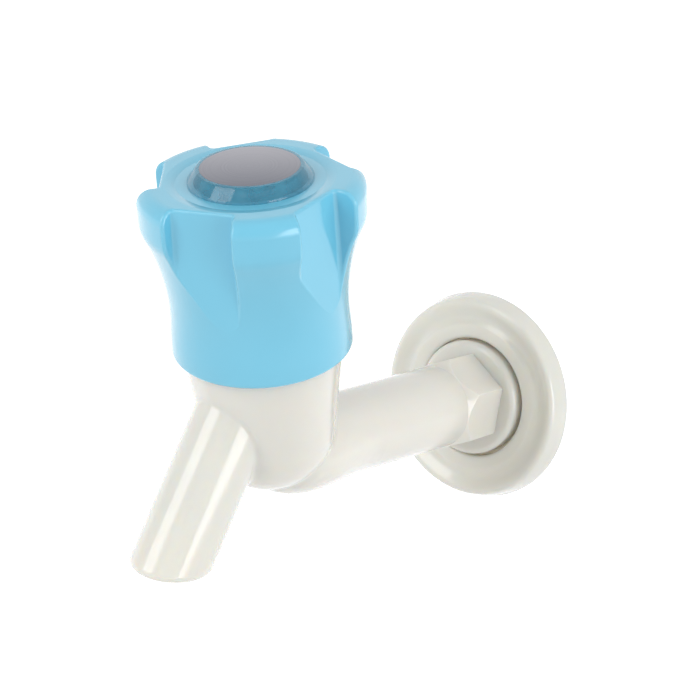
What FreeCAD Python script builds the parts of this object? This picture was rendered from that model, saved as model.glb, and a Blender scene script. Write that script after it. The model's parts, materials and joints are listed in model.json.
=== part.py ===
"""A wall-mounted plastic bib tap with a five-lobed knob.

Millimetres. The origin is on the inlet axis at the wall. +X points out of the
wall, +Z points up, and the XZ plane is the plane of symmetry of the body.
The headwork and the knob lean forward, on an axis that crosses the arm.
Heights named "level" are measured along that leaning axis from the crossing.
"""
import FreeCAD, Part
import math
import os

# The arm and what fixes it to the wall
arm_radius = 10.5
arm_foot_radius = 11.5
arm_reach = 87.5
arm_end_setback = 6.0
arm_end_closing = 0.9
shoulder_length = 26.0
shoulder_half_width = 14.2
shoulder_steps = 5
waterway_radius = 6.0
thread_radius = 10.48
thread_length = 15.0
thread_chamfer = 1.0
thread_relief_depth = 0.6
hexagon_across_flats = 23.0
hexagon_length = 15.9
hexagon_slope_angle = 30.0
collar_radius = 16.3
collar_thickness = 4.9
collar_edge_round = 1.6

# The wall flange, a loose dished ring
flange_radius = 29.4
flange_wall = 1.5
flange_skirt_height = 0.4
flange_recess_gap = 1.0
flange_recess_round = 1.0
flange_bore_gap = 0.35
flange_hub_height = 4.5
flange_hub_width = 3.1
trough_radius = 22.4
trough_height = 4.0
crest_height = 5.3
crest_inner_radius = 26.8
crest_outer_radius = 27.9
crest_outer_round = 0.9

# The leaning barrel of the body
lean_angle = 16.0
bowl_radius = 16.0
bowl_bottom_level = -7.3
barrel_draft = 0.12
barrel_top_level = 29.8
neck_radius = 17.2
neck_top_level = 37.0
arm_joint_round = 2.5
spout_joint_round = 1.8

# Waterways inside the barrel
lower_chamber_radius = 8.0
lower_chamber_bottom_level = -4.5
bridge_thickness = 3.0
bridge_top_level = 8.0
seat_hole_radius = 5.5
seat_lip_width = 1.5
seat_lip_height = 1.2
upper_chamber_radius = 13.0

# The spout
spout_radius = 9.3
spout_wall = 2.3
spout_port_radius = 6.0
spout_bore_depth = 25.0
spout_slope_angle = 66.4
spout_root_level = 29.7
outlet_level_z = -22.1
outlet_edge_round = 1.4

# The headwork: bonnet, spindle and seals
thread_gap = 0.08
bonnet_thread_radius = 13.9
bonnet_thread_length = 10.0
bonnet_nose_length = 3.0
bonnet_nose_radius = 12.4
bonnet_flange_radius = 16.3
bonnet_flange_thickness = 2.5
bonnet_seal_thickness = 1.0
bonnet_hexagon_across_flats = 24.0
bonnet_hexagon_height = 6.0
bonnet_hexagon_end_radius = 11.5
bonnet_hexagon_slope_angle = 60.0
bonnet_neck_radius = 8.2
bonnet_neck_height = 7.0
guide_radius = 8.5
guide_flat_distance = 7.0
guide_gap = 0.15
ceiling_thickness = 2.4

spindle_radius = 5.0
spindle_gap = 0.08
spindle_thread_radius = 4.5
spindle_thread_bottom_level = 26.0
thrust_collar_radius = 6.6
thrust_collar_thickness = 2.0
thrust_washer_thickness = 0.8
seal_cord_radius = 0.9
seal_squash_gap = 0.05
seal_pitch = 3.4
circlip_thickness = 0.9
circlip_width = 1.9
circlip_groove_depth = 0.7
circlip_mouth_angle = 70.0
spline_count = 20
spline_radius = 3.95
spline_tooth_depth = 0.4
spline_gap = 0.05

# The plunger that the spindle raises, and its washer
lift = 4.5
washer_radius = 7.6
washer_thickness = 3.0
washer_hole_radius = 2.1
washer_rim_grip = 1.8
plunger_head_radius = 9.4
plunger_head_thickness = 3.3
plunger_stem_height = 18.0
plunger_web = 1.5
plate_radius = 4.2
plate_thickness = 0.8
small_screw_radius = 1.95
small_screw_gap = 0.05
washer_screw_length = 9.0
washer_screw_head_radius = 3.0
washer_screw_head_height = 1.6

# The knob
knob_rim_gap = 0.6
knob_skirt_radius = 20.55
knob_waist_level = 40.0
knob_rim_flare = 0.4
knob_rim_round = 1.0
knob_wall = 2.0
knob_top_level = 72.2
knob_top_round = 3.6
flare_low_radius = 21.85
flare_low_level = 52.7
flare_high_radius = 24.45
flare_high_level = 60.8
lobe_count = 5
lobe_radius = 25.4
lobe_full_level = 64.5
groove_bite = 0.7
groove_draft = 1.6
groove_angle = 24.0
groove_deep_side = 10.0
groove_shallow_side = 28.0
groove_root_round = 1.0
groove_edge_round = 0.7
dish_radius = 16.6
dish_depth = 0.5
crown_width = 0.9
well_radius = 12.6
well_depth = 3.6
knob_roof_thickness = 2.2
hub_radius = 7.0
rib_count = 5
rib_thickness = 1.6
knob_screw_head_radius = 3.6
knob_screw_head_height = 2.1
knob_screw_length = 10.0
screw_hole_gap = 0.2
screw_washer_radius = 4.6
screw_washer_thickness = 0.6

# The button: a clear cap with a grey disc let into its top
cap_base_radius = 14.1
cap_top_radius = 11.9
cap_height = 3.1
cap_wall = 1.5
cap_edge_round = 1.0
cap_spigot_gap = 0.15
cap_spigot_wall = 1.4
cap_spigot_depth = 2.4
disc_radius = 11.1
disc_thickness = 0.4
disc_gap = 0.05

# Places worked out from the sizes above
collar_front = flange_wall + collar_thickness
arm_end = arm_reach - arm_end_setback
spout_bore_radius = spout_radius - spout_wall
thread_major_gap_radius = bonnet_thread_radius + thread_gap
bowl_center_level = bowl_bottom_level + bowl_radius
spout_root_z = spout_root_level * math.cos(math.radians(lean_angle))
spout_length = (spout_root_z - outlet_level_z) / math.sin(math.radians(spout_slope_angle))
draft_length = math.hypot(1.0, barrel_draft)
bowl_edge_radius = bowl_radius / draft_length
bowl_edge_level = bowl_center_level - bowl_radius * barrel_draft / draft_length
barrel_top_radius = bowl_edge_radius + barrel_draft * (barrel_top_level - bowl_edge_level)
seat_level = bridge_top_level + seat_lip_height
thread_bottom_level = neck_top_level - bonnet_thread_length
bonnet_bottom_level = thread_bottom_level - bonnet_nose_length
bonnet_flange_level = neck_top_level + bonnet_seal_thickness
bonnet_hexagon_level = bonnet_flange_level + bonnet_flange_thickness
bonnet_neck_level = bonnet_hexagon_level + bonnet_hexagon_height
bonnet_top_level = bonnet_neck_level + bonnet_neck_height
guide_top_level = bonnet_neck_level - ceiling_thickness
washer_top_level = seat_level + washer_thickness
plunger_head_top_level = washer_top_level + plunger_head_thickness
plunger_top_level = plunger_head_top_level + plunger_stem_height
washer_screw_top_level = seat_level - plate_thickness + washer_screw_length
plunger_bore_bottom_level = washer_screw_top_level + plunger_web
thrust_washer_level = guide_top_level - thrust_washer_thickness - spindle_gap
thrust_collar_level = thrust_washer_level - thrust_collar_thickness
circlip_level = bonnet_top_level + spindle_gap
knob_rim_level = barrel_top_level + knob_rim_gap
groove_floor_distance = knob_skirt_radius - groove_bite
crown_radius = groove_floor_distance - crown_width
well_floor_level = knob_top_level - well_depth
knob_roof_level = well_floor_level - knob_roof_thickness
hub_bottom_level = circlip_level + circlip_thickness + 2 * knob_rim_gap
spindle_top_level = knob_roof_level - knob_rim_gap / 2
cap_level = knob_top_level - dish_depth
cap_top_level = cap_level + cap_height

ORIGIN = FreeCAD.Vector(0, 0, 0)
UP = FreeCAD.Vector(0, 0, 1)
OUTWARD = FreeCAD.Vector(1, 0, 0)
SIDEWAYS = FreeCAD.Vector(0, 1, 0)


def point(radius, level):
    """A point of a profile, in the plane that a revolve turns."""
    return FreeCAD.Vector(radius, 0, level)


def line(start, end):
    return Part.LineSegment(start, end).toShape()


def arc(start, middle, end):
    return Part.Arc(start, middle, end).toShape()


def revolve(edges, turn_axis=UP):
    """Turn a closed profile a full circle into a solid."""
    face = Part.Face(Part.Wire(edges))
    return face.revolve(ORIGIN, turn_axis, 360)


def turned(corners, turn_axis=UP):
    """A solid turned from straight runs through (radius, level) corners."""
    points = [point(radius, level) for radius, level in corners]
    return revolve([line(points[i - 1], points[i]) for i in range(len(points))], turn_axis)


def disc(radius, bottom, height):
    return Part.makeCylinder(radius, height, point(0, bottom), UP)


def tube(outer, inner, bottom, height):
    return disc(outer, bottom, height).cut(disc(inner, bottom, height))


def prism(corners, bottom, height):
    """A straight block over a closed outline of (x, y) corners."""
    points = [FreeCAD.Vector(x, y, bottom) for x, y in corners]
    return Part.Face(Part.makePolygon(points + points[:1])).extrude(UP * height)


def polar(radius, angle):
    """The (x, y) of a polar place, with the angle in degrees."""
    return radius * math.cos(math.radians(angle)), radius * math.sin(math.radians(angle))


def hexagon(across_flats, bottom, height, end_radius, slope_angle):
    """A hexagon bar, its corners turned down to a radius at the top by a slope at an angle to the axis."""
    corner_radius = across_flats / math.sqrt(3)
    bar = prism([polar(corner_radius, 60 * i) for i in range(6)], bottom, height)
    top = bottom + height
    slope_start = top - (corner_radius - end_radius) / math.tan(math.radians(slope_angle))
    blank = turned([(0, bottom), (corner_radius, bottom), (corner_radius, slope_start),
                    (end_radius, top), (0, top)])
    return bar.common(blank)


def circles_near(shape, radius, level, spread=0.02):
    """The circular edges about the turning axis with this radius and level."""
    found = []
    for edge in shape.Edges:
        curve = edge.Curve
        if isinstance(curve, Part.Circle) and abs(curve.Radius - radius) < spread:
            if math.hypot(curve.Center.x, curve.Center.y) < spread and abs(curve.Center.z - level) < spread:
                found.append(edge)
    return found


def rounded(shape, places, fillet_radius):
    """Round the circular edges at the given (radius, level) places."""
    edges = []
    for radius, level in places:
        edges += circles_near(shape, radius, level)
    return shape.makeFillet(fillet_radius, edges)


def ring_cord(radius, cord_radius, level):
    """A seal of round cord."""
    return Part.makeTorus(radius, cord_radius, point(0, level), UP)


def leaning(shape):
    """Carry a piece from the upright construction axis to the leaning one."""
    placed = shape.copy()
    placed.rotate(ORIGIN, SIDEWAYS, lean_angle)
    placed.translate(FreeCAD.Vector(arm_reach, 0, 0))
    return placed


def along_arm(shape):
    """Carry a piece from the upright construction axis to the arm's axis."""
    placed = shape.copy()
    placed.rotate(ORIGIN, SIDEWAYS, 90)
    return placed


def double_flat(radius, flat_distance, bottom, height):
    """A round bar with two parallel flats."""
    block = Part.makeBox(2 * radius, 2 * flat_distance, height,
                         FreeCAD.Vector(-radius, -flat_distance, bottom))
    return disc(radius, bottom, height).common(block)


def spline(radius, bottom, height):
    """A toothed bar of triangular teeth."""
    step = 360 / spline_count
    corners = []
    for i in range(spline_count):
        corners.append(polar(radius, i * step))
        corners.append(polar(radius - spline_tooth_depth, (i + 0.5) * step))
    return prism(corners, bottom, height)


def spout_bar(radius, start_distance, end_drop):
    """A round bar along the spout, from near the leaning axis to below the outlet."""
    slope = math.radians(spout_slope_angle)
    direction = FreeCAD.Vector(math.cos(slope), 0, -math.sin(slope))
    root = FreeCAD.Vector(arm_reach + spout_root_level * math.sin(math.radians(lean_angle)), 0, spout_root_z)
    start = root + direction * start_distance
    length = (start.z - outlet_level_z + end_drop) / math.sin(slope)
    return Part.makeCylinder(radius, length, start, direction)


def spout_outside():
    """The spout, cut level at the outlet with a rounded lip."""
    bar = spout_bar(spout_radius, spout_radius, 2 * spout_radius)
    size = 8 * spout_radius
    below = Part.makeBox(size, size, size,
                         FreeCAD.Vector(arm_reach - spout_radius, -size / 2, outlet_level_z - size))
    bar = bar.cut(below)
    lip = [edge for edge in bar.Edges if abs(edge.BoundBox.ZMax - outlet_level_z) < 0.01]
    return bar.makeFillet(outlet_edge_round, lip)


def barrel_outside():
    """The drafted barrel with its round bottom, and the neck under the knob."""
    bottom = point(0, bowl_bottom_level)
    bowl_edge = point(bowl_edge_radius, bowl_edge_level)
    middle_angle = math.radians(-48)
    bowl_middle = point(bowl_radius * math.cos(middle_angle),
                        bowl_center_level + bowl_radius * math.sin(middle_angle))
    shoulder = point(barrel_top_radius, barrel_top_level)
    neck_foot = point(neck_radius, barrel_top_level)
    neck_edge = point(neck_radius, neck_top_level)
    top = point(0, neck_top_level)
    return revolve([arc(bottom, bowl_middle, bowl_edge), line(bowl_edge, shoulder),
                    line(shoulder, neck_foot), line(neck_foot, neck_edge),
                    line(neck_edge, top), line(top, bottom)])


def ellipse_section(level, half_width, half_height):
    """A round wire stretched along Y, for a loft."""
    ring = Part.Circle(ORIGIN, UP, 1).toShape().toNurbs()
    stretch = FreeCAD.Matrix()
    stretch.scale(half_height, half_width, 1)
    stretch.move(point(0, level))
    return Part.Wire(ring.transformGeometry(stretch).Edges)


def drafted_arm_radius(place):
    """The arm's radius at a distance from the wall, up to where the draft ends."""
    share = (arm_end - place) / (arm_end - collar_front)
    return arm_radius + (arm_foot_radius - arm_radius) * max(0, share)


def arm_root(start):
    """The arm's inner end, which widens sideways to the barrel and closes round inside it."""
    tip = arm_end + arm_end_closing * arm_radius
    sections = []
    for i in range(shoulder_steps + 1):
        place = start + (tip - start) * i / shoulder_steps
        share = min(1, (place - start) / shoulder_length)
        widening = (shoulder_half_width - arm_radius) * share * share * (3 - 2 * share)
        closing = math.sqrt(1 - (max(0, place - arm_end) / arm_radius) ** 2)
        radius = drafted_arm_radius(place)
        sections.append(ellipse_section(place, (radius + widening) * closing, radius * closing))
    return Part.makeLoft(sections, True, False)


def arm_outside():
    """The drafted arm with its root, the hexagon, the collar and the threaded shank."""
    root_start = arm_end - shoulder_length
    arm = Part.makeCone(arm_foot_radius, drafted_arm_radius(root_start), root_start - collar_front,
                        point(0, collar_front), UP)
    arm = arm.fuse(arm_root(root_start))
    collar = rounded(disc(collar_radius, flange_wall, collar_thickness),
                     [(collar_radius, collar_front)], collar_edge_round)
    flats = hexagon(hexagon_across_flats, collar_front, hexagon_length, arm_radius, hexagon_slope_angle)
    relief_radius = thread_radius - thread_relief_depth
    shank = turned([(0, -thread_length), (thread_radius - thread_chamfer, -thread_length),
                    (thread_radius, thread_chamfer - thread_length), (thread_radius, 0),
                    (relief_radius, 0), (relief_radius, flange_wall), (0, flange_wall)])
    return along_arm(arm.multiFuse([collar, flats, shank]))


def barrel_hollow():
    """The chambers over and under the seat, and the threaded mouth."""
    lower_top = bridge_top_level - bridge_thickness
    lower = disc(lower_chamber_radius, lower_chamber_bottom_level, lower_top - lower_chamber_bottom_level)
    hole = disc(seat_hole_radius, lower_chamber_bottom_level, neck_top_level - lower_chamber_bottom_level)
    upper = disc(upper_chamber_radius, bridge_top_level, neck_top_level - bridge_top_level)
    upper = upper.cut(tube(seat_hole_radius + seat_lip_width, seat_hole_radius,
                           bridge_top_level, seat_lip_height))
    mouth = disc(thread_major_gap_radius, thread_bottom_level, bonnet_thread_length)
    return lower.multiFuse([hole, upper, mouth])


def joint_edges(shape, first, second):
    """The edges where two parts of the moulding meet."""
    found = []
    for edge in shape.Edges:
        middle = edge.valueAt((edge.FirstParameter + edge.LastParameter) / 2)
        vertex = Part.Vertex(middle)
        near_first = first.distToShape(vertex)[0] < 0.01
        near_second = second.distToShape(vertex)[0] < 0.01
        if near_first and near_second:
            found.append(edge)
    return found


def joined(first, second, joint_round):
    """Two parts of the moulding made one, with their seam rounded."""
    both = first.fuse(second).removeSplitter()
    return both.makeFillet(joint_round, joint_edges(both, first.Shells[0], second.Shells[0]))


def make_tap_body():
    """The body moulding: shank, collar, hexagon, arm, barrel, seat and spout."""
    solid = joined(leaning(barrel_outside()), spout_outside(), spout_joint_round)
    solid = joined(solid, arm_outside(), arm_joint_round)
    waterway = along_arm(disc(waterway_radius, -thread_length, thread_length + arm_reach - waterway_radius))
    hollow = leaning(barrel_hollow())
    spout_port = spout_bar(spout_port_radius, spout_port_radius, 0)
    spout_bore = spout_bar(spout_bore_radius, spout_length - spout_bore_depth, 2 * spout_radius)
    return solid.cut(hollow.multiFuse([waterway, spout_port, spout_bore]))


def make_wall_flange():
    """The dished ring that hides the hole in the wall, a shell of even thickness."""
    bore = thread_radius + flange_bore_gap
    recess_radius = collar_radius + flange_recess_gap
    hub_edge = recess_radius + flange_hub_width
    floor_edge = recess_radius + flange_wall
    crest_foot = crest_outer_radius - flange_wall / 2
    recess_slant = flange_recess_round * (1 - math.sqrt(0.5))
    recess_top = point(recess_radius, flange_hub_height - flange_recess_round)
    recess_middle = point(recess_radius + recess_slant, flange_hub_height - recess_slant)
    hub_start = point(recess_radius + flange_recess_round, flange_hub_height)
    hub_end = point(hub_edge, flange_hub_height)
    crest = point(crest_inner_radius, crest_height)
    wave = Part.BSplineCurve()
    wave.interpolate(Points=[hub_end, point(trough_radius, trough_height), crest],
                     InitialTangent=OUTWARD, FinalTangent=OUTWARD)
    outline = [crest, point(crest_outer_radius, crest_height), point(flange_radius, flange_skirt_height),
               point(flange_radius, 0), point(flange_radius - flange_wall, 0),
               point(crest_foot, crest_height - flange_wall),
               point(crest_inner_radius, crest_height - flange_wall),
               point(trough_radius, trough_height - flange_wall), point(hub_edge, flange_hub_height - flange_wall),
               point(floor_edge, flange_hub_height - flange_wall), point(floor_edge, 0), point(bore, 0),
               point(bore, flange_wall), point(recess_radius, flange_wall), recess_top]
    edges = [line(outline[i], outline[i + 1]) for i in range(len(outline) - 1)]
    edges += [arc(recess_top, recess_middle, hub_start), line(hub_start, hub_end), wave.toShape()]
    ring = rounded(revolve(edges), [(crest_outer_radius, crest_height)], crest_outer_round)
    return along_arm(ring)


def make_bonnet():
    """The headwork housing: threaded plug, flange, hexagon and neck."""
    outside = turned([(0, bonnet_bottom_level), (bonnet_nose_radius, bonnet_bottom_level),
                      (bonnet_nose_radius, thread_bottom_level), (bonnet_thread_radius, thread_bottom_level),
                      (bonnet_thread_radius, bonnet_flange_level), (bonnet_flange_radius, bonnet_flange_level),
                      (bonnet_flange_radius, bonnet_hexagon_level), (0, bonnet_hexagon_level)])
    flats = hexagon(bonnet_hexagon_across_flats, bonnet_hexagon_level, bonnet_hexagon_height,
                    bonnet_hexagon_end_radius, bonnet_hexagon_slope_angle)
    neck = disc(bonnet_neck_radius, bonnet_neck_level, bonnet_neck_height)
    guide = double_flat(guide_radius, guide_flat_distance, bonnet_bottom_level,
                        guide_top_level - bonnet_bottom_level)
    bore = disc(spindle_radius + spindle_gap, guide_top_level, bonnet_top_level - guide_top_level)
    return leaning(outside.multiFuse([flats, neck]).cut(guide.fuse(bore)))


def make_bonnet_seal():
    return leaning(tube(bonnet_flange_radius, bonnet_thread_radius + thread_gap,
                        neck_top_level, bonnet_seal_thickness))


def seal_level(number):
    """The middle of a spindle seal, counted from the lower one."""
    middle = (guide_top_level + bonnet_top_level) / 2
    return middle + (number - 0.5) * seal_pitch


def make_spindle():
    """The spindle: driving thread, thrust collar, seal grooves, circlip groove and splines."""
    thread = disc(spindle_thread_radius, spindle_thread_bottom_level,
                  thrust_collar_level - spindle_thread_bottom_level)
    collar = disc(thrust_collar_radius, thrust_collar_level, thrust_collar_thickness)
    shaft_bottom = thrust_collar_level + thrust_collar_thickness
    shaft_top = circlip_level + 2 * circlip_thickness
    shaft = disc(spindle_radius, shaft_bottom, shaft_top - shaft_bottom)
    teeth = spline(spline_radius, shaft_top, spindle_top_level - shaft_top)
    bar = thread.multiFuse([collar, shaft, teeth])
    cord_middle = spindle_radius + spindle_gap - seal_squash_gap - seal_cord_radius
    groove_floor = cord_middle - seal_cord_radius - seal_squash_gap
    for number in (0, 1):
        level = seal_level(number) - 1.15 * seal_cord_radius
        bar = bar.cut(tube(spindle_radius + 1, groove_floor, level, 2.3 * seal_cord_radius))
    bar = bar.cut(tube(spindle_radius + 1, spindle_radius - circlip_groove_depth,
                       circlip_level, circlip_thickness + spindle_gap))
    tapped = disc(small_screw_radius + small_screw_gap, spindle_top_level - knob_screw_length,
                  knob_screw_length)
    return leaning(bar.cut(tapped))


def make_spindle_seal(number):
    cord_middle = spindle_radius + spindle_gap - seal_squash_gap - seal_cord_radius
    return leaning(ring_cord(cord_middle, seal_cord_radius, seal_level(number)))


def make_thrust_washer():
    return leaning(tube(thrust_collar_radius, spindle_radius + spindle_gap,
                        thrust_washer_level, thrust_washer_thickness))


def make_circlip():
    """An open spring ring in the groove over the bonnet's neck."""
    inner = spindle_radius - circlip_groove_depth + spindle_gap
    outer = inner + circlip_width
    ring = tube(outer, inner, circlip_level, circlip_thickness)
    half_mouth = circlip_mouth_angle / 2
    mouth = prism([(0, 0), polar(2 * outer, -half_mouth), polar(2 * outer, half_mouth)],
                  circlip_level, circlip_thickness)
    return leaning(ring.cut(mouth))


def knob_blank():
    """The knob before its grooves: skirt, flare, rounded shoulder, crown and dish, turned in one."""
    rim_radius = knob_skirt_radius + knob_rim_flare
    rim_slant = knob_rim_round * math.sqrt(0.5)
    rim_center = point(rim_radius - knob_rim_round, knob_rim_level + knob_rim_round)
    rim_foot = point(rim_center.x, knob_rim_level)
    rim_middle = rim_center + point(rim_slant, -rim_slant)
    rim_side = point(rim_radius, rim_center.z)
    side = Part.BSplineCurve()
    side_places = [rim_side, point(knob_skirt_radius, knob_waist_level),
                   point(flare_low_radius, flare_low_level),
                   point(flare_high_radius, flare_high_level), point(lobe_radius, lobe_full_level)]
    side.interpolate(Points=side_places, InitialTangent=UP, FinalTangent=UP)
    top_slant = knob_top_round * math.sqrt(0.5)
    shoulder_center = point(lobe_radius - knob_top_round, knob_top_level - knob_top_round)
    shoulder_side = point(lobe_radius, shoulder_center.z)
    shoulder_middle = shoulder_center + point(top_slant, top_slant)
    shoulder_top = point(shoulder_center.x, knob_top_level)
    crown = point(crown_radius, knob_top_level)
    dish = point(dish_radius, knob_top_level - dish_depth)
    dish_side = point((dish_radius + crown_radius) / 2, knob_top_level - 0.35 * dish_depth)
    dish_center = point(0, dish.z)
    bottom = point(0, knob_rim_level)
    return revolve([line(bottom, rim_foot), arc(rim_foot, rim_middle, rim_side), side.toShape(),
                    line(side_places[-1], shoulder_side), arc(shoulder_side, shoulder_middle, shoulder_top),
                    line(shoulder_top, crown), arc(crown, dish_side, dish), line(dish, dish_center),
                    line(dish_center, bottom)])


def groove_cutter(number):
    """One finger groove: a drafted flat floor between a deep radial wall and a shallow one."""
    reach = lobe_radius - groove_floor_distance + knob_top_round
    deep_x, deep_y = polar(1, groove_deep_side)
    shallow_x, shallow_y = polar(1, -groove_shallow_side)
    deep_foot = groove_floor_distance * deep_y / deep_x
    shallow_foot = groove_floor_distance * shallow_y / shallow_x
    outline = [(groove_floor_distance, shallow_foot), (groove_floor_distance, deep_foot),
               (groove_floor_distance + reach * deep_x, deep_foot + reach * deep_y),
               (groove_floor_distance + reach * shallow_x, shallow_foot + reach * shallow_y)]
    height = 1.5 * (knob_top_level - knob_rim_level)
    block = prism(outline, knob_rim_level, height)
    block.rotate(point(groove_floor_distance, knob_top_level), SIDEWAYS, -groove_draft)
    block.rotate(ORIGIN, UP, groove_angle + 360 / lobe_count * number)
    return block


def groove_roots(knob):
    """The inner corners where a groove's floor meets its walls."""
    found = []
    for edge in knob.Edges:
        flat_sides = [face for face in knob.ancestorsOfType(edge, Part.Face)
                      if isinstance(face.Surface, Part.Plane)]
        if len(flat_sides) == 2 and edge.BoundBox.ZLength > knob_top_round:
            found.append(edge)
    return found


def sharp_rims(knob):
    """The outer edges of the grooves, from the skirt up the walls and across the top."""
    found = []
    for edge in knob.Edges:
        sides = knob.ancestorsOfType(edge, Part.Face)
        middle = edge.valueAt((edge.FirstParameter + edge.LastParameter) / 2)
        outside = math.hypot(middle.x, middle.y) > crown_radius and middle.z > knob_waist_level
        if len(sides) == 2 and outside:
            normals = [side.normalAt(*side.Surface.parameter(middle)) for side in sides]
            if normals[0].getAngle(normals[1]) > math.radians(25):
                found.append(edge)
    return found


def knob_inside():
    """What the core pulls out of the skirt, round the hub and its ribs."""
    inner_radius = knob_skirt_radius - knob_wall
    hollow = disc(inner_radius, knob_rim_level, knob_roof_level - knob_rim_level)
    keep = disc(hub_radius, hub_bottom_level, knob_roof_level - hub_bottom_level)
    rib_bottom = hub_bottom_level + 2 * knob_wall
    for i in range(rib_count):
        rib = Part.makeBox(inner_radius + 1, rib_thickness, knob_roof_level - rib_bottom,
                           FreeCAD.Vector(0, -rib_thickness / 2, rib_bottom))
        rib.rotate(ORIGIN, UP, groove_angle + 360 / rib_count * (i + 0.5))
        keep = keep.fuse(rib)
    return hollow.cut(keep)


def make_knob():
    """The moulded knob: skirt, five flared lobes, button well, hub and splined socket."""
    cutters = [groove_cutter(number) for number in range(lobe_count)]
    knob = knob_blank().cut(cutters[0].multiFuse(cutters[1:]))
    knob = knob.makeFillet(groove_root_round, groove_roots(knob))
    knob = knob.makeFillet(groove_edge_round, sharp_rims(knob))
    well = disc(well_radius, well_floor_level, knob_top_level - well_floor_level)
    socket = spline(spline_radius + spline_gap, hub_bottom_level, knob_roof_level - hub_bottom_level)
    screw_hole = disc(small_screw_radius + screw_hole_gap, hub_bottom_level, knob_top_level - hub_bottom_level)
    return leaning(knob.cut(knob_inside().multiFuse([well, socket, screw_hole])))


def make_screw_washer():
    return leaning(tube(screw_washer_radius, small_screw_radius + screw_hole_gap, well_floor_level,
                        screw_washer_thickness))


def pan_screw(head_radius, head_height, shank_length):
    """A pan-headed screw with a crossed recess, head up, its bearing face at zero."""
    head = rounded(disc(head_radius, 0, head_height), [(head_radius, head_height)], 0.45 * head_height)
    shank = disc(small_screw_radius, -shank_length, shank_length)
    slot_width = 0.25 * head_radius
    slot = Part.makeBox(1.1 * head_radius, slot_width, head_height / 2,
                        FreeCAD.Vector(-0.55 * head_radius, -slot_width / 2, head_height / 2))
    cross = slot.copy()
    cross.rotate(ORIGIN, UP, 90)
    return head.fuse(shank).cut(slot.fuse(cross))


def make_knob_screw():
    screw = pan_screw(knob_screw_head_radius, knob_screw_head_height, knob_screw_length)
    screw.translate(UP * (well_floor_level + screw_washer_thickness))
    return leaning(screw)


def make_button_cap():
    """The clear cap, a hollow cone with a spigot that snaps into the knob's well."""
    outside = turned([(0, cap_level), (cap_base_radius, cap_level), (cap_base_radius, cap_level + 0.4),
                      (cap_top_radius, cap_top_level), (0, cap_top_level)])
    outside = rounded(outside, [(cap_top_radius, cap_top_level)], 0.5)
    outside = rounded(outside, [(cap_base_radius, cap_level + 0.4)], cap_edge_round)
    spigot_radius = well_radius - cap_spigot_gap
    spigot = disc(spigot_radius, cap_level - cap_spigot_depth, cap_spigot_depth)
    hollow = disc(spigot_radius - cap_spigot_wall, cap_level - cap_spigot_depth,
                  cap_spigot_depth + cap_height - cap_wall)
    recess = disc(disc_radius + disc_gap, cap_top_level - disc_thickness, disc_thickness)
    return leaning(outside.fuse(spigot).cut(hollow.fuse(recess)))


def make_index_disc():
    return leaning(disc(disc_radius, cap_top_level - disc_thickness, disc_thickness))


def make_plunger():
    """The plunger: flatted stem, blind driving thread and the cup that holds the washer."""
    stem = double_flat(guide_radius - guide_gap, guide_flat_distance - guide_gap,
                       plunger_head_top_level, plunger_stem_height)
    head = disc(plunger_head_radius, washer_top_level - washer_rim_grip,
                plunger_head_thickness + washer_rim_grip)
    head = rounded(head, [(plunger_head_radius, plunger_head_top_level)], 0.8)
    cup = disc(washer_radius + small_screw_gap, washer_top_level - washer_rim_grip, washer_rim_grip)
    driving_thread = disc(spindle_thread_radius + spindle_gap, plunger_bore_bottom_level,
                          plunger_top_level - plunger_bore_bottom_level)
    tapped = disc(small_screw_radius + small_screw_gap, washer_top_level,
                  washer_screw_top_level - washer_top_level)
    return leaning(stem.fuse(head).cut(cup.multiFuse([driving_thread, tapped])))


def make_valve_washer():
    return leaning(tube(washer_radius, washer_hole_radius, seat_level, washer_thickness))


def make_washer_plate():
    return leaning(tube(plate_radius, washer_hole_radius, seat_level - plate_thickness, plate_thickness))


def make_washer_screw():
    screw = pan_screw(washer_screw_head_radius, washer_screw_head_height, washer_screw_length)
    screw.rotate(ORIGIN, OUTWARD, 180)
    screw.translate(UP * (seat_level - plate_thickness))
    return leaning(screw)


parts = {
    "tap_body": make_tap_body(),
    "wall_flange": make_wall_flange(),
    "bonnet": make_bonnet(),
    "bonnet_seal": make_bonnet_seal(),
    "spindle": make_spindle(),
    "spindle_seal_lower": make_spindle_seal(0),
    "spindle_seal_upper": make_spindle_seal(1),
    "thrust_washer": make_thrust_washer(),
    "spindle_circlip": make_circlip(),
    "knob": make_knob(),
    "knob_screw": make_knob_screw(),
    "screw_washer": make_screw_washer(),
    "button_cap": make_button_cap(),
    "index_disc": make_index_disc(),
    "plunger": make_plunger(),
    "valve_washer": make_valve_washer(),
    "washer_plate": make_washer_plate(),
    "washer_screw": make_washer_screw(),
}

os.makedirs("parts", exist_ok=True)
for name, shape in parts.items():
    solid = shape.Solids[0]
    solid.exportStep("parts/" + name + ".step")
    print(name, len(shape.Solids), "solid, valid", solid.isValid(), round(solid.Volume, 1))
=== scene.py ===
# %% [markdown]
# # A wall-mounted bib tap
# This lesson dresses an exact model of a plastic garden tap: an ivory body with a slanted spout,
# a sky-blue knob with five grips, a clear button with a grey disc, and a loose wall flange.
# The exact model is loaded first and stays where it is. Everything is in metres, with the
# inlet on the X axis, the wall at X = 0 and Z up.

# %% Load the exact model
import json
import math

import bmesh
import bpy
from mathutils import Matrix, Vector
from mathutils.geometry import interpolate_bezier


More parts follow.
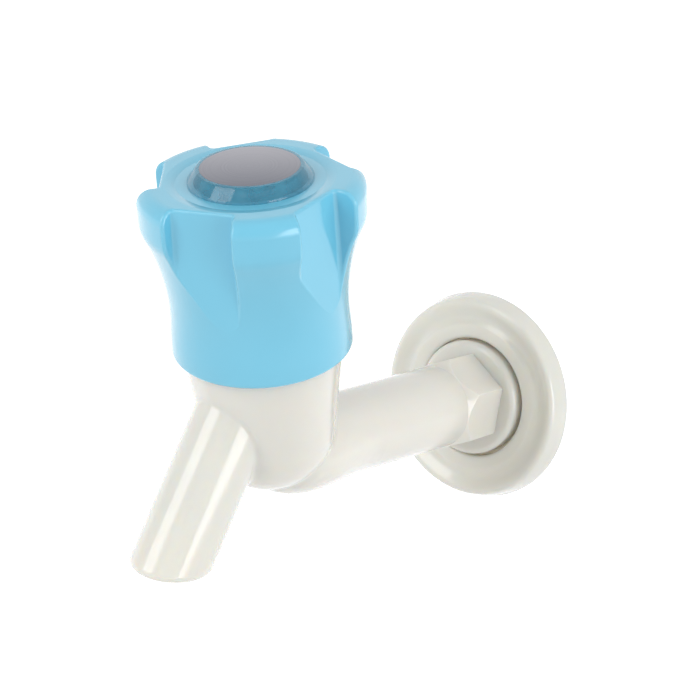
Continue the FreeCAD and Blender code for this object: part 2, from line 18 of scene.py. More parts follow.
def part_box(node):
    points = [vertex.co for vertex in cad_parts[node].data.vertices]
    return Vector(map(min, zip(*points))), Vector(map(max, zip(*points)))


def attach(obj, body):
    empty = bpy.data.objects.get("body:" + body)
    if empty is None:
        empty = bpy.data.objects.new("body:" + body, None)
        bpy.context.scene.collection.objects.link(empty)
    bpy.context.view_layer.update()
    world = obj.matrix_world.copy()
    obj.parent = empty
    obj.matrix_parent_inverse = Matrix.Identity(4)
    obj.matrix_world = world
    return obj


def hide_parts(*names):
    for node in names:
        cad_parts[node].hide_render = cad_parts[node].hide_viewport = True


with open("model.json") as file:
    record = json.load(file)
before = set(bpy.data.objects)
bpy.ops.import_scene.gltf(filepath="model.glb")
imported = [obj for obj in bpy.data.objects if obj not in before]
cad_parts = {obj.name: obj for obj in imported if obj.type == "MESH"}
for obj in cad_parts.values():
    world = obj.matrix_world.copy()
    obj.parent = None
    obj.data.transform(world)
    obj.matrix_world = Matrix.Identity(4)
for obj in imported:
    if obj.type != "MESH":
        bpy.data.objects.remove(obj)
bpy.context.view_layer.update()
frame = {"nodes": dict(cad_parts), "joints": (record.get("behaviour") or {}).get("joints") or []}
nodes = frame["nodes"]

# %% The knob's axis
turning = next(joint for joint in frame["joints"] if joint["name"] == "knob_turn")
knob_foot = Vector(turning["pos_m"])
knob_axis = Vector(turning["axis"]).normalized()
knob_side = Vector((0, 1, 0))
lean_degrees = math.degrees(math.atan2(knob_axis.x, knob_axis.z))
print("the knob leans", round(lean_degrees, 2), "degrees")

# %% [markdown]
# ## The camera
# The photograph looks down on the tap from the front and its left, with a short telephoto and a
# slightly turned camera. Place, turn and lens were worked out from the circles of the flange and
# the knob, so the camera is written as three axes and a place, which is exact and easy to check.

# %% Camera
lens_mm = 78.32
camera_right = Vector((-0.63688, 0.75709, 0.14560))
camera_up = Vector((-0.14017, -0.29941, 0.94377))
camera_back = Vector((0.75811, 0.58066, 0.29681))
camera_place = Vector((0.350958, 0.220831, 0.135572))

camera_data = bpy.data.cameras.new("photo_camera")
camera_data.sensor_width = 36
camera_data.lens = lens_mm
camera_data.clip_start = 0.01
camera = bpy.data.objects.new("photo_camera", camera_data)
turn = Matrix((camera_right, camera_up, camera_back)).transposed()
camera.matrix_world = Matrix.Translation(camera_place) @ turn.to_4x4()
bpy.context.scene.collection.objects.link(camera)
bpy.context.scene.camera = camera
print("camera", tuple(round(v, 3) for v in camera_place), "lens", lens_mm)

# %% [markdown]
# ## Light, floor and background
# The photograph is a studio picture: two tall soft lights left and right of the camera draw the
# two long stripes on the round spout, and a white room fills the rest. The world lights the tap
# at a plain level, and only what the camera, a reflection or a view through glass sees of it is
# pure white. The floor is pale and keeps the tap's soft shadow, and it can't be seen from below,
# so that the tap can be looked at from there too.

# %% Who sees the room itself
def seen_directly(tree):
    """One where the camera, a reflection or a view through glass looks, else nought."""
    path = tree.nodes.new("ShaderNodeLightPath")
    first = tree.nodes.new("ShaderNodeMath")
    first.operation = "MAXIMUM"
    tree.links.new(path.outputs["Is Camera Ray"], first.inputs[0])
    tree.links.new(path.outputs["Is Glossy Ray"], first.inputs[1])
    second = tree.nodes.new("ShaderNodeMath")
    second.operation = "MAXIMUM"
    tree.links.new(first.outputs[0], second.inputs[0])
    tree.links.new(path.outputs["Is Transmission Ray"], second.inputs[1])
    return second.outputs[0]


print("helper ready")

# %% A white room
view_settings = bpy.context.scene.view_settings
view_settings.view_transform = "Standard"
room_level, room_tint = 0.38, (0.98, 0.99, 1.0)
room = bpy.data.worlds.new("white_room")
bpy.context.scene.world = room
room.use_nodes = True
tree = room.node_tree
tree.nodes.clear()
lighting = tree.nodes.new("ShaderNodeBackground")
lighting.inputs["Color"].default_value = (*room_tint, 1)
lighting.inputs["Strength"].default_value = room_level
backdrop = tree.nodes.new("ShaderNodeBackground")
backdrop.inputs["Color"].default_value = (1, 1, 1, 1)
backdrop.inputs["Strength"].default_value = 1.0
mixed = tree.nodes.new("ShaderNodeMixShader")
tree.links.new(seen_directly(tree), mixed.inputs[0])
tree.links.new(lighting.outputs[0], mixed.inputs[1])
tree.links.new(backdrop.outputs[0], mixed.inputs[2])
tree.links.new(mixed.outputs[0], tree.nodes.new("ShaderNodeOutputWorld").inputs[0])
print("room level", room_level)

# %% The two tall lights
aim = Vector((0.095, 0.0, 0.02))


def soft_light(name, azimuth, elevation, distance, width, height, brightness):
    """A rectangle of light that faces the tap.

    brightness is what its face looks like, with white as one.
    """
    a, e = math.radians(azimuth), math.radians(elevation)
    away = Vector((math.cos(a) * math.cos(e), math.sin(a) * math.cos(e), math.sin(e)))
    data = bpy.data.lights.new(name, "AREA")
    data.shape = "RECTANGLE"
    data.size = width
    data.size_y = height
    data.energy = brightness * math.pi * width * height
    light = bpy.data.objects.new(name, data)
    light.rotation_mode = "QUATERNION"
    light.rotation_quaternion = away.to_track_quat("Z", "Y")
    light.location = aim + away * distance
    bpy.context.scene.collection.objects.link(light)
    print(name, "watts", round(data.energy, 2))
    return light


light_distance = 0.62
soft_light("left_light", -18, 22, light_distance, width=0.34, height=0.46, brightness=2.3)
soft_light("right_light", 86, -3, light_distance, width=0.40, height=0.58, brightness=3.1)

# %% [markdown]
# Two lights alone would leave hard shadows on the far side of each lobe. Four wide, dim sheets
# of light fill them. Gloss would show each sheet as a pale patch, so they are hidden from
# reflections.

# %% Four wide fills
fill_distance, fill_size = 1.5, 0.9
fills = [("fill_left", -20, 20, 2.1), ("fill_far_left", -80, 5, 1.2),
         ("fill_top_right", 120, 50, 3.0), ("fill_right", 92, 5, 0.7)]
for name, azimuth, elevation, brightness in fills:
    fill = soft_light(name, azimuth, elevation, fill_distance, fill_size, fill_size, brightness)
    fill.visible_glossy = False

# %% The floor
floor_level = -0.075
floor_half_width = 4.0
floor_mesh = bpy.data.meshes.new("floor")
outline = bmesh.new()
bmesh.ops.create_grid(outline, x_segments=1, y_segments=1, size=floor_half_width)
bmesh.ops.translate(outline, verts=outline.verts, vec=(0, 0, floor_level))
outline.to_mesh(floor_mesh)
outline.free()
floor = bpy.data.objects.new("floor", floor_mesh)
bpy.context.scene.collection.objects.link(floor)
print("floor at", floor_level * 1000, "mm")

# %% [markdown]
# The floor's paint is three things in one. Light that bounces off it meets plain pale paint. The
# camera sees a darker paint that takes the shadow, with a white glow added that brings the rest
# of it up to white. And from below it is clear. The glow is a little weaker near the tap, where
# the lights are strongest, so that the floor is one even white all over.

# %% Paint for the floor
paint_tone, shaded_tone = 0.72, 0.50
far_glow, glow_lost_near = 0.98, 0.28
floor_paint = bpy.data.materials.new("white_floor")
floor_paint.use_nodes = True
tree = floor_paint.node_tree
tree.nodes.clear()
plain = tree.nodes.new("ShaderNodeBsdfDiffuse")
plain.inputs["Color"].default_value = (paint_tone, paint_tone, paint_tone, 1)
shaded = tree.nodes.new("ShaderNodeBsdfDiffuse")
shaded.inputs["Color"].default_value = (shaded_tone, shaded_tone, shaded_tone, 1)
place = tree.nodes.new("ShaderNodeTexCoord")
nearness = tree.nodes.new("ShaderNodeTexGradient")
nearness.gradient_type = "QUADRATIC_SPHERE"
tree.links.new(place.outputs["Object"], nearness.inputs[0])
level = tree.nodes.new("ShaderNodeMath")
level.operation = "MULTIPLY_ADD"
level.inputs[1].default_value = -glow_lost_near
level.inputs[2].default_value = far_glow
tree.links.new(nearness.outputs["Fac"], level.inputs[0])
glow = tree.nodes.new("ShaderNodeEmission")
tree.links.new(level.outputs[0], glow.inputs["Strength"])
both = tree.nodes.new("ShaderNodeAddShader")
tree.links.new(shaded.outputs[0], both.inputs[0])
tree.links.new(glow.outputs[0], both.inputs[1])
mixed = tree.nodes.new("ShaderNodeMixShader")
tree.links.new(seen_directly(tree), mixed.inputs[0])
tree.links.new(plain.outputs[0], mixed.inputs[1])
tree.links.new(both.outputs[0], mixed.inputs[2])
side = tree.nodes.new("ShaderNodeNewGeometry")
clear_below = tree.nodes.new("ShaderNodeBsdfTransparent")
one_sided = tree.nodes.new("ShaderNodeMixShader")
tree.links.new(side.outputs["Backfacing"], one_sided.inputs[0])
tree.links.new(mixed.outputs[0], one_sided.inputs[1])
tree.links.new(clear_below.outputs[0], one_sided.inputs[2])
tree.links.new(one_sided.outputs[0], tree.nodes.new("ShaderNodeOutputMaterial").inputs[0])
floor_mesh.materials.append(floor_paint)
print("floor paint nodes", len(tree.nodes))

# %% [markdown]
# ## A skin that every moulding shares
# A glossy moulding is never perfectly even: slow waves where the plastic shrank, a very fine
# orange-peel, and small changes in gloss. The tap is new, so it has no scratches. One node group
# makes these from object coordinates, and each plastic places it with its own amounts. A noise's
# scale counts its bumps in a metre: 90 is a wave every 11 mm, 1500 a pimple every 0.7 mm.

# %% Small helpers for node trees
def new_group(name, inputs, outputs):
    """A shader node group with named values in and named values out."""
    group = bpy.data.node_groups.new(name, "ShaderNodeTree")
    for label, kind, value in inputs:
        socket = group.interface.new_socket(name=label, in_out="INPUT", socket_type=kind)
        if value is not None:
            socket.default_value = value
    for label, kind in outputs:
        group.interface.new_socket(name=label, in_out="OUTPUT", socket_type=kind)
    return group, group.nodes.new("NodeGroupInput"), group.nodes.new("NodeGroupOutput")


def noise(tree, vector, scale, detail=2.0, roughness=0.5):
    """Soft noise, as a value from nought to one."""
    node = tree.nodes.new("ShaderNodeTexNoise")
    node.inputs["Scale"].default_value = scale
    node.inputs["Detail"].default_value = detail
    node.inputs["Roughness"].default_value = roughness
    tree.links.new(vector, node.inputs["Vector"])
    return node.outputs["Fac"]


def calculate(tree, operation, first, second=None, third=None):
    """A math node on sockets or plain numbers."""
    node = tree.nodes.new("ShaderNodeMath")
    node.operation = operation
    for place, value in enumerate((first, second, third)):
        if value is None:
            continue
        if isinstance(value, (int, float)):
            node.inputs[place].default_value = value
        else:
            tree.links.new(value, node.inputs[place])
    return node.outputs[0]


def between(tree, mask, first, second):
    """A colour between two tones, by a mask."""
    node = tree.nodes.new("ShaderNodeMix")
    node.data_type = "RGBA"
    for label, tone in (("A", first), ("B", second)):
        if isinstance(tone, tuple):
            node.inputs[label].default_value = (*tone, 1)
        else:
            tree.links.new(tone, node.inputs[label])
    tree.links.new(mask, node.inputs["Factor"])
    return node.outputs["Result"]


def turned_place(tree, vector, turn, stretch):
    """The place turned and stretched, for a pattern with a direction."""
    node = tree.nodes.new("ShaderNodeMapping")
    node.inputs["Rotation"].default_value = [math.radians(a) for a in turn]
    node.inputs["Scale"].default_value = stretch
    tree.links.new(vector, node.inputs["Vector"])
    return node.outputs["Vector"]


print("helpers ready")

# %% The moulded skin
wave_scale, peel_scale, gloss_scale, cloud_scale = 90.0, 1500.0, 420.0, 38.0
skin, skin_in, skin_out = new_group(
    "moulded_skin",
    [("Vector", "NodeSocketVector", None), ("Gloss", "NodeSocketFloat", 0.2),
     ("Gloss Change", "NodeSocketFloat", 0.05), ("Peel", "NodeSocketFloat", 0.3)],
    [("Height", "NodeSocketFloat"), ("Roughness", "NodeSocketFloat"), ("Cloud", "NodeSocketFloat")])
place = skin_in.outputs["Vector"]
waves = noise(skin, place, wave_scale)
peel = noise(skin, place, peel_scale)
gloss = noise(skin, place, gloss_scale, 3.0)
fine = calculate(skin, "MULTIPLY", peel, skin_in.outputs["Peel"])
skin.links.new(calculate(skin, "ADD", waves, fine), skin_out.inputs["Height"])
centred = calculate(skin, "SUBTRACT", gloss, 0.5)
change = calculate(skin, "MULTIPLY", centred, skin_in.outputs["Gloss Change"])
uneven = calculate(skin, "ADD", change, skin_in.outputs["Gloss"])
skin.links.new(uneven, skin_out.inputs["Roughness"])
skin.links.new(noise(skin, place, cloud_scale), skin_out.inputs["Cloud"])
print("skin nodes", len(skin.nodes))

# %% [markdown]
# The tap's plastics are one shader with different amounts. Ivory lets light in: it wanders some
# millimetres and comes out warmer, which softens the shadows, so it has subsurface scattering.
# The blue is dense and has none. Both have a clear coat over a rougher base, because a polished
# mould gives a sharp reflection over a broad one. The inner parts are plainer: milky acetal, a
# slippery white ring and black rubber.

# %% A plastic made of that skin
gloss_change_share = 0.35


def plastic(name, deep, pale, gloss, peel=0.3, bump=0.25, coat=0.0, glow_depth=0.0):
    """A moulding whose colour drifts a little between two close tones.

    glow_depth is how far, in metres, light wanders inside the plastic before it comes out again.
    """
    material = bpy.data.materials.new(name)
    material.use_nodes = True
    tree = material.node_tree
    shader = tree.nodes["Principled BSDF"]
    coordinates = tree.nodes.new("ShaderNodeTexCoord")
    group = tree.nodes.new("ShaderNodeGroup")
    group.node_tree = skin
    group.inputs["Gloss"].default_value = gloss
    group.inputs["Gloss Change"].default_value = gloss_change_share * gloss
    group.inputs["Peel"].default_value = peel
    tree.links.new(coordinates.outputs["Object"], group.inputs["Vector"])
    tree.links.new(between(tree, group.outputs["Cloud"], deep, pale), shader.inputs["Base Color"])
    tree.links.new(group.outputs["Roughness"], shader.inputs["Roughness"])
    relief = tree.nodes.new("ShaderNodeBump")
    relief.inputs["Strength"].default_value = bump
    relief.inputs["Distance"].default_value = 0.0001
    tree.links.new(group.outputs["Height"], relief.inputs["Height"])
    tree.links.new(relief.outputs["Normal"], shader.inputs["Normal"])
    shader.inputs["IOR"].default_value = 1.5
    shader.inputs["Coat Weight"].default_value = coat
    shader.inputs["Coat Roughness"].default_value = 0.11
    if glow_depth:
        shader.inputs["Subsurface Weight"].default_value = 0.8
        shader.inputs["Subsurface Radius"].default_value = (1.0, 0.72, 0.48)
        shader.inputs["Subsurface Scale"].default_value = glow_depth
    print(name, "made")
    return material


# %% The tap's five plastics
ivory = plastic("ivory_plastic", (0.735, 0.715, 0.655), (0.775, 0.758, 0.70), 0.20,
                coat=0.9, glow_depth=0.005)
blue = plastic("blue_plastic", (0.135, 0.520, 0.715), (0.170, 0.560, 0.755), 0.24, 0.2, coat=0.8)
acetal = plastic("acetal_plastic", (0.74, 0.74, 0.71), (0.80, 0.80, 0.77), 0.42, 0.6, 0.3)
slip = plastic("slip_ring_plastic", (0.82, 0.82, 0.80), (0.88, 0.88, 0.86), 0.5, 0.6, 0.3)
rubber = plastic("black_rubber", (0.022, 0.022, 0.023), (0.035, 0.035, 0.036), 0.62, 1.0, 0.5)


# %% Put a finish on the nodes
def dress(material, *names):
    """Give nodes of the exact model this one material."""
    for name in names:
        data = nodes[name].data
        data.materials.clear()
        data.materials.append(material)
    print(material.name, "on", ", ".join(names))


dress(ivory, "tap_body", "wall_flange")
dress(blue, "knob")
dress(acetal, "bonnet", "plunger")
dress(slip, "thrust_washer")
dress(rubber, "bonnet_seal", "spindle_seal_lower", "spindle_seal_upper", "valve_washer")

# %% [markdown]
# ## The wall flange
# The flange is a dished ring, the same all round, and glossy enough to show every facet. So its
# section is drawn once, with a curve for the shallow trough, and spun round the inlet in small
# steps. Its outer crest and the lip of its recess are rounded with a bevel. It hangs loose on the
# shank, so the gap round the collar is widest on one side, and the recess is drawn in elsewhere.

# %% Helpers for turned shapes
same_place = 1e-6


def spin_round(shape, line, foot, axis, steps=160):
    """Spin a line of vertices once round an axis."""
    edges = [shape.edges.new(pair) for pair in zip(line, line[1:])]
    bmesh.ops.spin(shape, geom=line + edges, cent=foot, axis=axis, angle=math.tau, steps=steps,
                   use_merge=True, use_duplicate=False)
    bmesh.ops.remove_doubles(shape, verts=shape.verts, dist=same_place)


def ring_edges(shape, foot, axis, radius, level):
    """The edges of the ring with this radius and level in millimetres."""
    tolerance = 0.02
    found = []
    for edge in shape.edges:
        middle = (edge.verts[0].co + edge.verts[1].co) / 2 - foot
        height = middle.dot(axis)
        out = (middle - axis * height).length
        round_it = abs((edge.verts[1].co - edge.verts[0].co).dot(axis)) < same_place
        off_level, off_radius = abs(height * 1000 - level), abs(out * 1000 - radius)
        if round_it and off_level < tolerance and off_radius < tolerance:
            found.append(edge)
    return found


def round_ring(shape, foot, axis, radius, level, width, segments=6):
    """Round a ring's corner; width is how far the rounding reaches from it, in millimetres."""
    ring = ring_edges(shape, foot, axis, radius, level)
    bmesh.ops.bevel(shape, geom=ring, offset=width / 1000, affect="EDGES", segments=segments,
                    profile=0.5, material=-1)
    print("rounded", len(ring), "edges at radius", radius)


def smooth_piece(name, shape, body, node, material, sharp=28):
    """Make the shape an object that stands for a node and rides on a body."""
    bmesh.ops.recalc_face_normals(shape, faces=shape.faces)
    open_edges = sum(edge.is_boundary for edge in shape.edges)
    mesh = bpy.data.meshes.new(name)
    shape.to_mesh(mesh)
    shape.free()
    mesh.shade_smooth()
    mesh.set_sharp_from_angle(angle=math.radians(sharp))
    mesh.materials.append(material)
    piece = bpy.data.objects.new(name, mesh)
    bpy.context.scene.collection.objects.link(piece)
    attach(piece, body)
    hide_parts(node)
    print(name, "faces", len(mesh.polygons), "open edges", open_edges)
    return piece


# %% The flange's section, in millimetres
def curve_points(start, first, second, end, count):
    """Points along one Bezier stretch, without its start."""
    handles = [Vector((*place, 0)) for place in (start, first, second, end)]
    return [tuple(place[:2]) for place in interpolate_bezier(*handles, count)][1:]


flange_radius, flange_wall, skirt_height = 29.4, 1.5, 0.4
flange_bore, recess_radius = 10.83, 17.3
hub_radius, hub_height = 20.4, 4.5
trough_radius, trough_height = 22.8, 3.96
crest_start, crest_radius, crest_height = 26.8, 27.9, 5.3
hub_edge, trough = (hub_radius, hub_height), (trough_radius, trough_height)
crest = (crest_start, crest_height)
under_crest, under_hub = crest_height - flange_wall, hub_height - flange_wall
recess_outside = recess_radius + flange_wall

section = [(flange_bore, 0), (flange_bore, flange_wall), (recess_radius, flange_wall),
           (recess_radius, hub_height), hub_edge]
section += curve_points(hub_edge, (21.2, hub_height), (21.7, trough_height), trough, 10)
section += curve_points(trough, (24.2, trough_height), (25.5, crest_height), crest, 14)
section += [(crest_radius, crest_height), (flange_radius, skirt_height), (flange_radius, 0)]
section += [(flange_radius - flange_wall, 0), (27.15, under_crest), (crest_start, under_crest),
            (22.4, 2.5), (hub_radius, under_hub), (recess_outside, under_hub), (recess_outside, 0),
            (flange_bore, 0)]
print("section points", len(section))

# %% Spin the flange
inlet_foot, inlet_axis = Vector((0, 0, 0)), Vector((1, 0, 0))
lip_round, crest_round = 0.95, 1.02
shape = bmesh.new()
line = [shape.verts.new((level / 1000, radius / 1000, 0)) for radius, level in section]
spin_round(shape, line, inlet_foot, inlet_axis)
round_ring(shape, inlet_foot, inlet_axis, recess_radius, hub_height, lip_round)
round_ring(shape, inlet_foot, inlet_axis, crest_radius, crest_height, crest_round)
print("flange points", len(shape.verts))

# %% Draw the recess in on one side
most_drawn, draw_start, draw_end, draw_fade = 0.62, 17.0, 18.3, 0.8
draw_level = 0.0014


def set_radius(vert, wanted):
    """Move a point straight in or out, to this distance from the inlet axis in metres."""
    share = wanted / math.hypot(vert.co.y, vert.co.z)
    vert.co.y *= share
    vert.co.z *= share


drawn = 0
for vert in shape.verts:
    radius = math.hypot(vert.co.y, vert.co.z) * 1000
    if draw_start < radius < draw_end and vert.co.x > draw_level:
        open_side = (0.5 + 0.5 * vert.co.y * 1000 / radius) ** 1.5
        fade = min((draw_end - radius) / draw_fade, 1)
        set_radius(vert, (radius - most_drawn * (1 - open_side) * fade) / 1000)
        drawn += 1
print("drawn in", drawn, "points of the recess")
smooth_piece("dished_flange", shape, "tap", "wall_flange", ivory)

# %% [markdown]
# ## The inlet thread
# The shank that screws into the wall has a half-inch pipe thread. It is too fine for the exact
# model, which keeps a plain shank of the thread's outer size. So the body is copied and its
# plain shank cut off behind the thread. The copy keeps the exact model's own normals: they are
# stored on its corners before the loose triangles are merged, and set again after the cut.

# %% Copy the body with its normals
exact_body = nodes["tap_body"].data
exact_normals = [tuple(corner.vector) for corner in exact_body.corner_normals]
shape = bmesh.new()
shape.from_mesh(exact_body)
kept = shape.loops.layers.float_vector.new("kept_normal")
corners = [loop for face in shape.faces for loop in face.loops]
for loop, normal in zip(corners, exact_normals):
    loop[kept] = normal
bmesh.ops.remove_doubles(shape, verts=shape.verts, dist=same_place)
print("body corners", len(corners))

# %% Cut off the plain shank
cut_place = 0.0005


def cut_across(shape, place, **cleared_side):
    """Cut a shape across the inlet axis and clear one side of the cut."""
    whole = shape.verts[:] + shape.edges[:] + shape.faces[:]
    bmesh.ops.bisect_plane(shape, geom=whole, dist=same_place / 10, plane_co=(place, 0, 0),
                           plane_no=(1, 0, 0), **cleared_side)


cut_across(shape, cut_place, clear_inner=True)
rim = [edge for edge in shape.edges if edge.is_boundary]
filled = bmesh.ops.triangle_fill(shape, edges=rim, use_beauty=True, normal=(-1, 0, 0))["geom"]
for part in filled:
    if isinstance(part, bmesh.types.BMFace):
        for loop in part.loops:
            loop[kept] = (-1, 0, 0)
body_mesh = bpy.data.meshes.new("body_moulding")
body_normals = [tuple(loop[kept]) for face in shape.faces for loop in face.loops]
open_edges = sum(edge.is_boundary for edge in shape.edges)
shape.to_mesh(body_mesh)
shape.free()
body_mesh.normals_split_custom_set(body_normals)
body_mesh.attributes.remove(body_mesh.attributes["kept_normal"])
print("body faces", len(body_mesh.polygons), "rim edges", len(rim), "left open", open_edges)

# %% [markdown]
# A thread is a saw-toothed line that turns round an axis and moves along it by one tooth a turn,
# which is what spin does when it is given a step along the axis. After one turn each tooth meets
# its neighbour and the two are merged. Moving the points near the ends in or out makes the
# lead-in at the free end and lets the thread run out into the relief groove. A tooth's corners
# are shares of the pitch: root, up one flank, along the crest, down the other flank, root.

# %% Spin the thread
pitch = 0.0254 / 14
thread_length = 0.015
thread_crest, thread_root = 0.01048, 0.00932
steps = 96
tooth = [(0.0, thread_root), (0.14, thread_root), (0.43, thread_crest), (0.57, thread_crest),
         (0.86, thread_root)]
spare_teeth = 4
teeth = math.ceil(thread_length / pitch) + spare_teeth
shape = bmesh.new()
line = []
for number in range(teeth):
    for share, radius in tooth:
        along = pitch * (number + share - spare_teeth / 2) - thread_length
        line.append(shape.verts.new((along, radius, 0)))
edges = [shape.edges.new(pair) for pair in zip(line, line[1:])]
bmesh.ops.spin(shape, geom=line + edges, cent=(0, 0, 0), axis=(1, 0, 0), dvec=(pitch / steps, 0, 0),
               angle=math.tau, steps=steps, use_merge=False, use_duplicate=False)
bmesh.ops.remove_doubles(shape, verts=shape.verts, dist=same_place)
cut_across(shape, -thread_length, clear_inner=True)
cut_across(shape, cut_place, clear_outer=True)
print("thread turns", round(thread_length / pitch, 1), "faces", len(shape.faces))

# %% Its lead-in and run-out
lead_in, run_out = 0.001, 0.0016
relief_radius = 0.00988
for vert in shape.verts:
    radius = math.hypot(vert.co.y, vert.co.z)
    wanted = min(radius, thread_crest - lead_in + (vert.co.x + thread_length))
    fade = min(max(1 + vert.co.x / run_out, 0.0), 1.0)
    set_radius(vert, wanted + (relief_radius - wanted) * fade)
least_radius = min(math.hypot(vert.co.y, vert.co.z) for vert in shape.verts)
print("least thread radius in mm", round(least_radius * 1000, 2))

# %% Close the threaded shank with its bore
bore_radius = 0.006
outer = [edge for edge in shape.edges if edge.is_boundary]
across_inlet = Matrix.Translation((cut_place, 0, 0)) @ Matrix.Rotation(math.pi / 2, 4, "Y")
ring = bmesh.ops.create_circle(shape, segments=steps, radius=bore_radius, matrix=across_inlet)
front = list({edge for vert in ring["verts"] for edge in vert.link_edges})
pulled = bmesh.ops.extrude_edge_only(shape, edges=front)["geom"]
moved = [part for part in pulled if isinstance(part, bmesh.types.BMVert)]
bmesh.ops.translate(shape, verts=moved, vec=(-thread_length - cut_place, 0, 0))
back = [part for part in pulled if isinstance(part, bmesh.types.BMEdge) and part.is_boundary]
for bore_edges, end in ((front, cut_place), (back, -thread_length)):
    around = [edge for edge in outer if all(abs(vert.co.x - end) < same_place for vert in edge.verts)]
    bmesh.ops.triangle_fill(shape, edges=bore_edges + around, use_beauty=True, normal=(1, 0, 0))
bmesh.ops.recalc_face_normals(shape, faces=shape.faces)
open_edges = sum(edge.is_boundary for edge in shape.edges)
print("shank faces", len(shape.faces), "left open", open_edges)

# %% Make the thread a mesh
thread_sharp = math.radians(40)
thread_mesh = bpy.data.meshes.new("inlet_thread")
shape.to_mesh(thread_mesh)
shape.free()
thread_mesh.shade_smooth()
thread_mesh.set_sharp_from_angle(angle=thread_sharp)
print("thread piece faces", len(thread_mesh.polygons))

# %% Put both on the tap
for name, mesh in (("body_moulding", body_mesh), ("inlet_thread", thread_mesh)):
    piece = bpy.data.objects.new(name, mesh)
    bpy.context.scene.collection.objects.link(piece)
    mesh.materials.clear()
    mesh.materials.append(ivory)
    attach(piece, "tap")
    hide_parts("tap_body")
    print(name, "in place")

# %% [markdown]
# ## Metals
# The spindle and its small parts are turned brass, the clip and screws are bright steel. None of
# them shows in the photograph, but they show when the tap is taken apart, so they get the fine
# rings that a turning tool leaves, as noise stretched hard along one direction.

# %% Turned metal
mark_shade, roughness_spread, mark_scale = 0.84, 0.18, 900.0


def metal(name, colour, roughness):
    """Metal with fine turning marks."""
    material = bpy.data.materials.new(name)
    material.use_nodes = True
    tree = material.node_tree
    shader = tree.nodes["Principled BSDF"]
    coordinates = tree.nodes.new("ShaderNodeTexCoord")
    along = turned_place(tree, coordinates.outputs["Object"], (0, -lean_degrees, 0), (0.15, 0.15, 6.0))
    marks = noise(tree, along, mark_scale, 4.0)
    shader.inputs["Metallic"].default_value = 1.0
    in_the_marks = tuple(mark_shade * tone for tone in colour)
    tree.links.new(between(tree, marks, in_the_marks, colour), shader.inputs["Base Color"])
    uneven = calculate(tree, "MULTIPLY_ADD", marks, roughness_spread, roughness - roughness_spread / 2)
    tree.links.new(uneven, shader.inputs["Roughness"])
    relief = tree.nodes.new("ShaderNodeBump")
    relief.inputs["Strength"].default_value = 0.25
    relief.inputs["Distance"].default_value = 0.00005
    tree.links.new(marks, relief.inputs["Height"])
    tree.links.new(relief.outputs["Normal"], shader.inputs["Normal"])
    print(name, "made")
    return material


# %% Brass and steel
brass = metal("turned_brass", (0.78, 0.57, 0.27), 0.36)
steel = metal("bright_steel", (0.66, 0.66, 0.67), 0.18)
dress(brass, "spindle", "washer_plate", "washer_screw")
dress(steel, "spindle_circlip", "knob_screw", "screw_washer")

# %% [markdown]
# ## The grey disc
# The disc let into the button is thin metallised sheet: silver-grey, with a painted reflection
# that makes it lighter towards one side, faint rings from its polishing, and coloured blue on its
# back, which shows through the clear rim. Its face is told from its back by the direction that
# the surface faces, measured against the knob's own axis.

# %% Helper for a direction
def axis_value(tree, vector, direction):
    """How far a vector reaches along a direction."""
    node = tree.nodes.new("ShaderNodeVectorMath")
    node.operation = "DOT_PRODUCT"
    tree.links.new(vector, node.inputs[0])
    node.inputs[1].default_value = direction
    return node.outputs["Value"]


print("helper ready")

# %% Where a place on the disc lies
disc_low, disc_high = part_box("index_disc")
disc_middle = (Vector(disc_low) + Vector(disc_high)) / 2
disc_radius = (disc_high[1] - disc_low[1]) / 2
foil = bpy.data.materials.new("grey_foil")
foil.use_nodes = True
tree = foil.node_tree
shader = tree.nodes["Principled BSDF"]
coordinates = tree.nodes.new("ShaderNodeTexCoord")
facing_up = axis_value(tree, coordinates.outputs["Normal"], tuple(knob_axis))
face = calculate(tree, "GREATER_THAN", facing_up, 0.5)
from_middle = tree.nodes.new("ShaderNodeVectorMath")
from_middle.operation = "SUBTRACT"
tree.links.new(coordinates.outputs["Object"], from_middle.inputs[0])
from_middle.inputs[1].default_value = disc_middle
print("disc radius in mm", round(disc_radius * 1000, 2))

# %% Its painted reflection and its rings
painted_reflection_share, ring_share = 0.42, 0.35
# A painted reflection: the disc is painted lighter along this way, and fade below carries it.
painted_reflection_way = Vector((-0.72, -0.66, 0.2)).normalized()
fade = axis_value(tree, from_middle.outputs[0], tuple(painted_reflection_way))
fade = calculate(tree, "MULTIPLY_ADD", fade, painted_reflection_share / disc_radius, 0.5)
distance = tree.nodes.new("ShaderNodeVectorMath")
distance.operation = "LENGTH"
tree.links.new(from_middle.outputs[0], distance.inputs[0])
rings = tree.nodes.new("ShaderNodeTexNoise")
rings.noise_dimensions = "1D"
rings.inputs["Scale"].default_value = 2600.0
tree.links.new(distance.outputs["Value"], rings.inputs["W"])
centred = calculate(tree, "SUBTRACT", rings.outputs["Fac"], 0.5)
# The painted reflection together with the polishing rings, as one mask between the two silvers.
rings_and_painted_reflection = calculate(tree, "MULTIPLY_ADD", centred, ring_share, fade)
print("foil nodes so far", len(tree.nodes))

# %% The foil's colour and gloss
dark_silver, light_silver = (0.15, 0.158, 0.195), (0.44, 0.435, 0.475)
back_blue = (0.02, 0.27, 0.42)
silver = between(tree, rings_and_painted_reflection, dark_silver, light_silver)
tree.links.new(between(tree, face, back_blue, silver), shader.inputs["Base Color"])
tree.links.new(calculate(tree, "MULTIPLY", face, 0.9), shader.inputs["Metallic"])
uneven = calculate(tree, "MULTIPLY_ADD", rings.outputs["Fac"], 0.12, 0.26)
tree.links.new(uneven, shader.inputs["Roughness"])
relief = tree.nodes.new("ShaderNodeBump")
relief.inputs["Strength"].default_value = 0.12
relief.inputs["Distance"].default_value = 0.00003
tree.links.new(rings.outputs["Fac"], relief.inputs["Height"])
tree.links.new(relief.outputs["Normal"], shader.inputs["Normal"])
dress(foil, "index_disc")

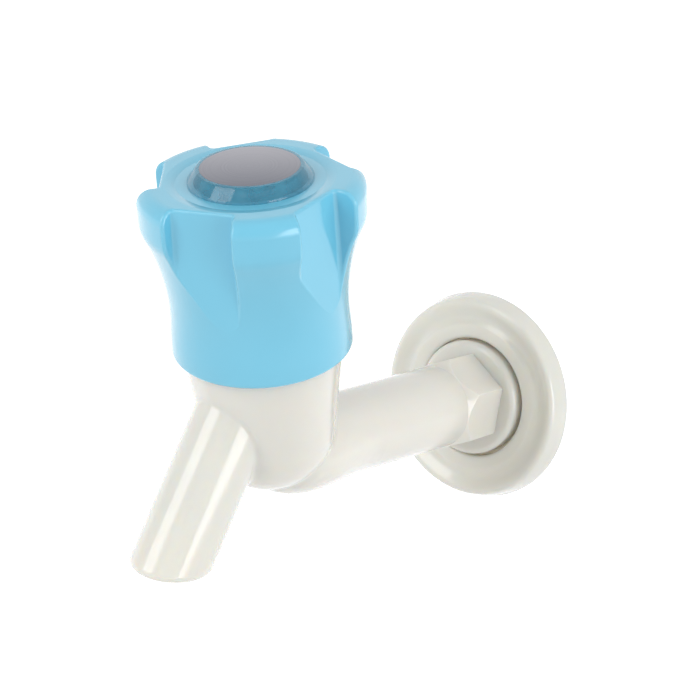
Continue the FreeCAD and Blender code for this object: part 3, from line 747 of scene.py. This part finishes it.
# %% [markdown]
# ## The clear button
# The cap over the knob's well is clear moulded plastic. Glass and clear plastic show every facet
# of a mesh, so the cap is made again here: its profile is drawn once, spun round the knob's axis
# in small steps, and its two outer corners are rounded with a bevel.

# %% Clear plastic
clear = bpy.data.materials.new("clear_cap_plastic")
clear.use_nodes = True
tree = clear.node_tree
shader = tree.nodes["Principled BSDF"]
shader.inputs["IOR"].default_value = 1.49
shader.inputs["Coat Weight"].default_value = 1.0
shader.inputs["Coat Roughness"].default_value = 0.05
coordinates = tree.nodes.new("ShaderNodeTexCoord")
cloud = noise(tree, coordinates.outputs["Object"], 300.0)
tree.links.new(calculate(tree, "MULTIPLY_ADD", cloud, 0.08, 0.03), shader.inputs["Roughness"])
tree.links.new(calculate(tree, "MULTIPLY_ADD", cloud, 0.20, 0.50), shader.inputs["Alpha"])
deep_tint, pale_tint = (0.02, 0.25, 0.40), (0.05, 0.36, 0.52)
tree.links.new(between(tree, cloud, deep_tint, pale_tint), shader.inputs["Base Color"])
relief = tree.nodes.new("ShaderNodeBump")
relief.inputs["Strength"].default_value = 0.1
relief.inputs["Distance"].default_value = 0.00005
tree.links.new(cloud, relief.inputs["Height"])
tree.links.new(relief.outputs["Normal"], shader.inputs["Normal"])
dress(clear, "button_cap")

# %% The cap's profile, in millimetres
cap_base, cap_top, spigot_radius, hollow_radius, recess = 14.1, 11.9, 12.45, 11.05, 11.15
spigot_foot, base_level, rim_level, top_level = 69.3, 71.7, 72.1, 74.8
roof_level, recess_floor = 73.3, 74.4
cap_profile = [(0, roof_level), (hollow_radius, roof_level), (hollow_radius, spigot_foot),
               (spigot_radius, spigot_foot), (spigot_radius, base_level), (cap_base, base_level),
               (cap_base, rim_level), (cap_top, top_level), (recess, top_level), (recess, recess_floor),
               (0, recess_floor)]
print("cap profile points", len(cap_profile))

# %% Spin the cap
rim_round, top_round = 0.45, 0.26


def on_knob(radius, level):
    """A place in the knob's own plane of construction, in metres, from millimetres."""
    return knob_foot + knob_axis * (level / 1000) + knob_side * (radius / 1000)


shape = bmesh.new()
line = [shape.verts.new(on_knob(*corner)) for corner in cap_profile]
spin_round(shape, line, knob_foot, knob_axis)
round_ring(shape, knob_foot, knob_axis, cap_base, rim_level, rim_round)
round_ring(shape, knob_foot, knob_axis, cap_top, top_level, top_round)
smooth_piece("clear_cap", shape, "handle", "button_cap", clear)
